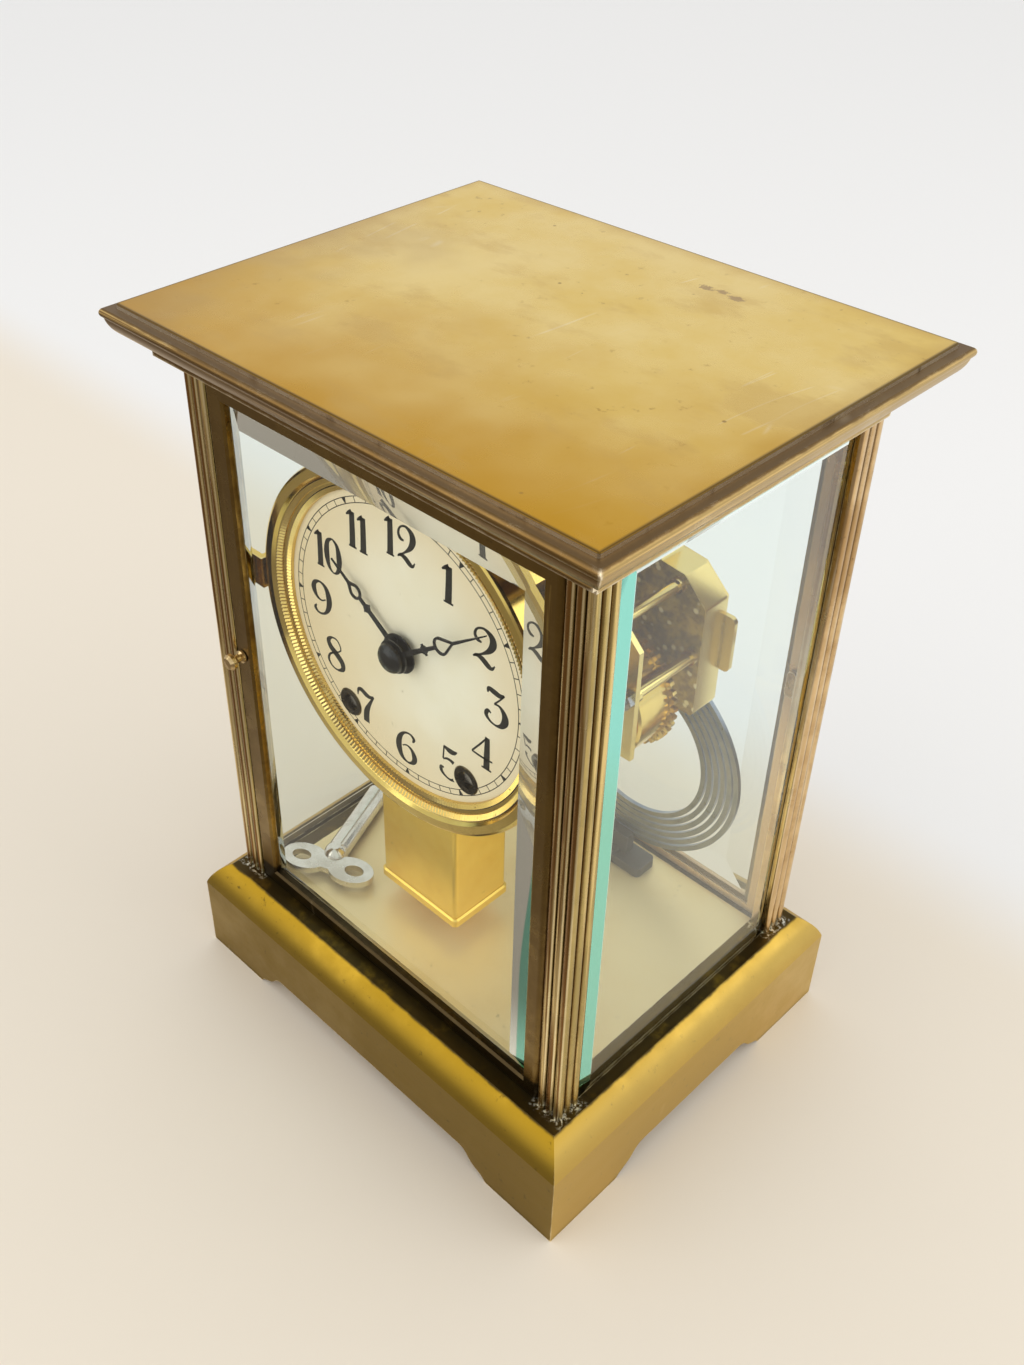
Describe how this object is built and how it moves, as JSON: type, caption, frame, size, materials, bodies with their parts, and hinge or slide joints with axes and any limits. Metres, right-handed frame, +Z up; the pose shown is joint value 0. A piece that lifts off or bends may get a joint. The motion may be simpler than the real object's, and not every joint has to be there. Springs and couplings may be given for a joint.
{
  "type": "mantel clock",
  "caption": "Four-glass brass mantel clock with opening front and rear doors, visible time-and-strike movement, block pendulum, coiled gong and a winding key inside.",
  "frame": {"origin": "middle of the base's outline, on the surface that the feet stand on", "axes": "+Z up, dial and front door face -Y, +X to the right seen from the front"},
  "size_m": [0.188, 0.153, 0.267],
  "materials": {
    "brass": "polished, lightly worn lacquer",
    "steel": "polished",
    "glass": "polished, bevelled",
    "dial_enamel": "satin",
    "black_hands": "gloss",
    "nickel": "polished",
    "cast_iron": "painted black"
  },
  "bodies": {
    "case": {"base_plinth": "brass", "floor_plate": "brass", "post_front_left": "brass", "post_front_right": "brass", "post_rear_left": "brass", "post_rear_right": "brass", "cornice": "brass", "top_plate": "brass", "case_screws": "steel", "side_glass_right": "glass", "side_glass_left": "glass", "bezel": "brass", "milled_ring": "brass", "dial": "dial_enamel", "dial_grommets": "brass", "dial_backplate": "brass", "mounting_lugs": "brass", "dial_pillars": "brass", "front_plate": "brass", "rear_frame": "brass", "rear_cover": "brass", "plate_pillars": "brass", "plate_studs": "steel", "escape_cock": "brass", "suspension_cock": "brass", "gong_coil": "steel", "gong_stand": "cast_iron"},
    "front_door": {"front_door_frame": "brass", "front_glass": "glass"},
    "front_latch": {"front_latch": "brass"},
    "rear_door": {"rear_door_frame": "brass", "rear_glass": "glass"},
    "rear_latch": {"rear_latch": "brass"},
    "minute_hand_group": {"minute_hand": "black_hands", "cannon_pinion": "brass", "hand_nut": "black_hands"},
    "minute_wheel": {"minute_wheel": "brass"},
    "hour_hand_group": {"hour_hand": "black_hands", "hour_wheel": "brass"},
    "time_barrel": {"time_barrel": "brass"},
    "second_wheel": {"second_wheel": "brass"},
    "centre_wheel": {"centre_wheel": "brass"},
    "third_wheel": {"third_wheel": "brass"},
    "fourth_wheel": {"fourth_wheel": "brass"},
    "escape_wheel": {"escape_wheel": "brass"},
    "anchor": {"anchor": "steel"},
    "pendulum": {"pendulum_rod": "steel", "pendulum_bob": "brass"},
    "rating_nut": {"rating_nut": "brass"},
    "time_winding_arbor": {"time_winding_arbor": "steel"},
    "time_click": {"time_click": "steel"},
    "strike_barrel": {"strike_barrel": "brass"},
    "pin_wheel": {"pin_wheel": "brass"},
    "warning_wheel": {"warning_wheel": "brass"},
    "fly": {"fly": "brass"},
    "strike_winding_arbor": {"strike_winding_arbor": "steel"},
    "strike_click": {"strike_click": "steel"},
    "hammer": {"hammer": "brass"},
    "winding_key": {"winding_key": "nickel"}
  },
  "joints": [
    {"name": "front_door_hinge", "type": "hinge", "parent": "case", "child": "front_door", "pos_m": [0.06745, -0.057, 0.144], "axis": [0, 0, 1], "range_deg": [0, 95]},
    {"name": "front_latch_turn", "type": "hinge", "parent": "front_door", "child": "front_latch", "pos_m": [-0.06735, -0.0595, 0.147], "axis": [0, -1, 0], "range_deg": [0, 90]},
    {"name": "rear_door_hinge", "type": "hinge", "parent": "case", "child": "rear_door", "pos_m": [-0.06745, 0.057, 0.144], "axis": [0, 0, 1], "range_deg": [0, 95]},
    {"name": "rear_latch_turn", "type": "hinge", "parent": "rear_door", "child": "rear_latch", "pos_m": [0.06735, 0.0595, 0.147], "axis": [0, 1, 0], "range_deg": [0, 90]},
    {"name": "minute_hand_turn", "type": "hinge", "parent": "case", "child": "minute_hand_group", "pos_m": [0, -0.025, 0.1795], "axis": [0, 1, 0], "continuous": true},
    {"name": "minute_wheel_turn", "type": "hinge", "parent": "case", "child": "minute_wheel", "pos_m": [0.00919, -0.005, 0.17179], "axis": [0, 1, 0], "continuous": true},
    {"name": "hour_hand_turn", "type": "hinge", "parent": "case", "child": "hour_hand_group", "pos_m": [0, -0.025, 0.1795], "axis": [0, 1, 0], "continuous": true},
    {"name": "escape_wheel_turn", "type": "hinge", "parent": "case", "child": "escape_wheel", "pos_m": [-0.014, 0.01, 0.198], "axis": [0, 1, 0], "continuous": true},
    {"name": "fourth_wheel_turn", "type": "hinge", "parent": "case", "child": "fourth_wheel", "pos_m": [-0.00474, 0.015, 0.20356], "axis": [0, 1, 0], "continuous": true},
    {"name": "third_wheel_turn", "type": "hinge", "parent": "case", "child": "third_wheel", "pos_m": [0.00435, 0.015, 0.19573], "axis": [0, 1, 0], "continuous": true},
    {"name": "centre_wheel_turn", "type": "hinge", "parent": "case", "child": "centre_wheel", "pos_m": [0, 0.015, 0.1795], "axis": [0, 1, 0], "continuous": true},
    {"name": "second_wheel_turn", "type": "hinge", "parent": "case", "child": "second_wheel", "pos_m": [0.01571, 0.015, 0.16779], "axis": [0, 1, 0], "continuous": true},
    {"name": "time_barrel_turn", "type": "hinge", "parent": "case", "child": "time_barrel", "pos_m": [0.026, 0.015, 0.145], "axis": [0, 1, 0], "continuous": true},
    {"name": "time_winding_turn", "type": "hinge", "parent": "case", "child": "time_winding_arbor", "pos_m": [0.026, 0, 0.145], "axis": [0, 1, 0], "range_deg": [0, 1080]},
    {"name": "time_click_lift", "type": "hinge", "parent": "case", "child": "time_click", "pos_m": [0.03431, -0.002, 0.15564], "axis": [0, 1, 0], "range_deg": [0, 10], "stiffness_Nm_per_rad": 0.0002, "springref_deg": -17.19},
    {"name": "fly_turn", "type": "hinge", "parent": "case", "child": "fly", "pos_m": [-0.02489, 0.015, 0.19542], "axis": [0, 1, 0], "continuous": true},
    {"name": "warning_wheel_turn", "type": "hinge", "parent": "case", "child": "warning_wheel", "pos_m": [-0.01978, 0.015, 0.18445], "axis": [0, 1, 0], "continuous": true},
    {"name": "pin_wheel_turn", "type": "hinge", "parent": "case", "child": "pin_wheel", "pos_m": [-0.02818, 0.015, 0.1699], "axis": [0, 1, 0], "continuous": true},
    {"name": "strike_barrel_turn", "type": "hinge", "parent": "case", "child": "strike_barrel", "pos_m": [-0.026, 0.015, 0.145], "axis": [0, 1, 0], "continuous": true},
    {"name": "strike_winding_turn", "type": "hinge", "parent": "case", "child": "strike_winding_arbor", "pos_m": [-0.026, 0, 0.145], "axis": [0, 1, 0], "range_deg": [0, 1080]},
    {"name": "strike_click_lift", "type": "hinge", "parent": "case", "child": "strike_click", "pos_m": [-0.03431, -0.002, 0.15564], "axis": [0, -1, 0], "range_deg": [0, 10], "stiffness_Nm_per_rad": 0.0002, "springref_deg": -17.19},
    {"name": "pendulum_swing", "type": "hinge", "parent": "case", "child": "pendulum", "pos_m": [-0.014, -0.017, 0.214], "axis": [0, 1, 0], "range_deg": [-3, 3]},
    {"name": "anchor_rock", "type": "hinge", "parent": "case", "child": "anchor", "pos_m": [-0.014, -0.004, 0.214], "axis": [0, 1, 0], "range_deg": [-3, 3]},
    {"name": "rating_nut_turn", "type": "hinge", "parent": "pendulum", "child": "rating_nut", "pos_m": [-0.014, -0.017, 0.048], "axis": [0, 0, 1], "range_deg": [-360, 360]},
    {"name": "hammer_lift", "type": "hinge", "parent": "case", "child": "hammer", "pos_m": [0, 0.03, 0.15], "axis": [0, 1, 0], "range_deg": [-14, 0]},
    {"name": "key_slide", "type": "slide", "parent": "case", "child": "winding_key", "axis": [0, 1, 0], "range_m": [0, 0.025]}
  ],
  "couplings": [
    {"joint": "minute_wheel_turn", "follows": "minute_hand_turn", "ratio": -0.33333},
    {"joint": "hour_hand_turn", "follows": "minute_hand_turn", "ratio": 0.083333},
    {"joint": "fourth_wheel_turn", "follows": "escape_wheel_turn", "ratio": -0.2},
    {"joint": "third_wheel_turn", "follows": "escape_wheel_turn", "ratio": 0.04},
    {"joint": "centre_wheel_turn", "follows": "escape_wheel_turn", "ratio": -0.0066667},
    {"joint": "second_wheel_turn", "follows": "escape_wheel_turn", "ratio": 0.0011111},
    {"joint": "time_barrel_turn", "follows": "escape_wheel_turn", "ratio": -0.00021164},
    {"joint": "warning_wheel_turn", "follows": "fly_turn", "ratio": -0.22222},
    {"joint": "pin_wheel_turn", "follows": "fly_turn", "ratio": 0.044444},
    {"joint": "strike_barrel_turn", "follows": "fly_turn", "ratio": -0.0084656},
    {"joint": "anchor_rock", "follows": "pendulum_swing", "ratio": 1}
  ]
}
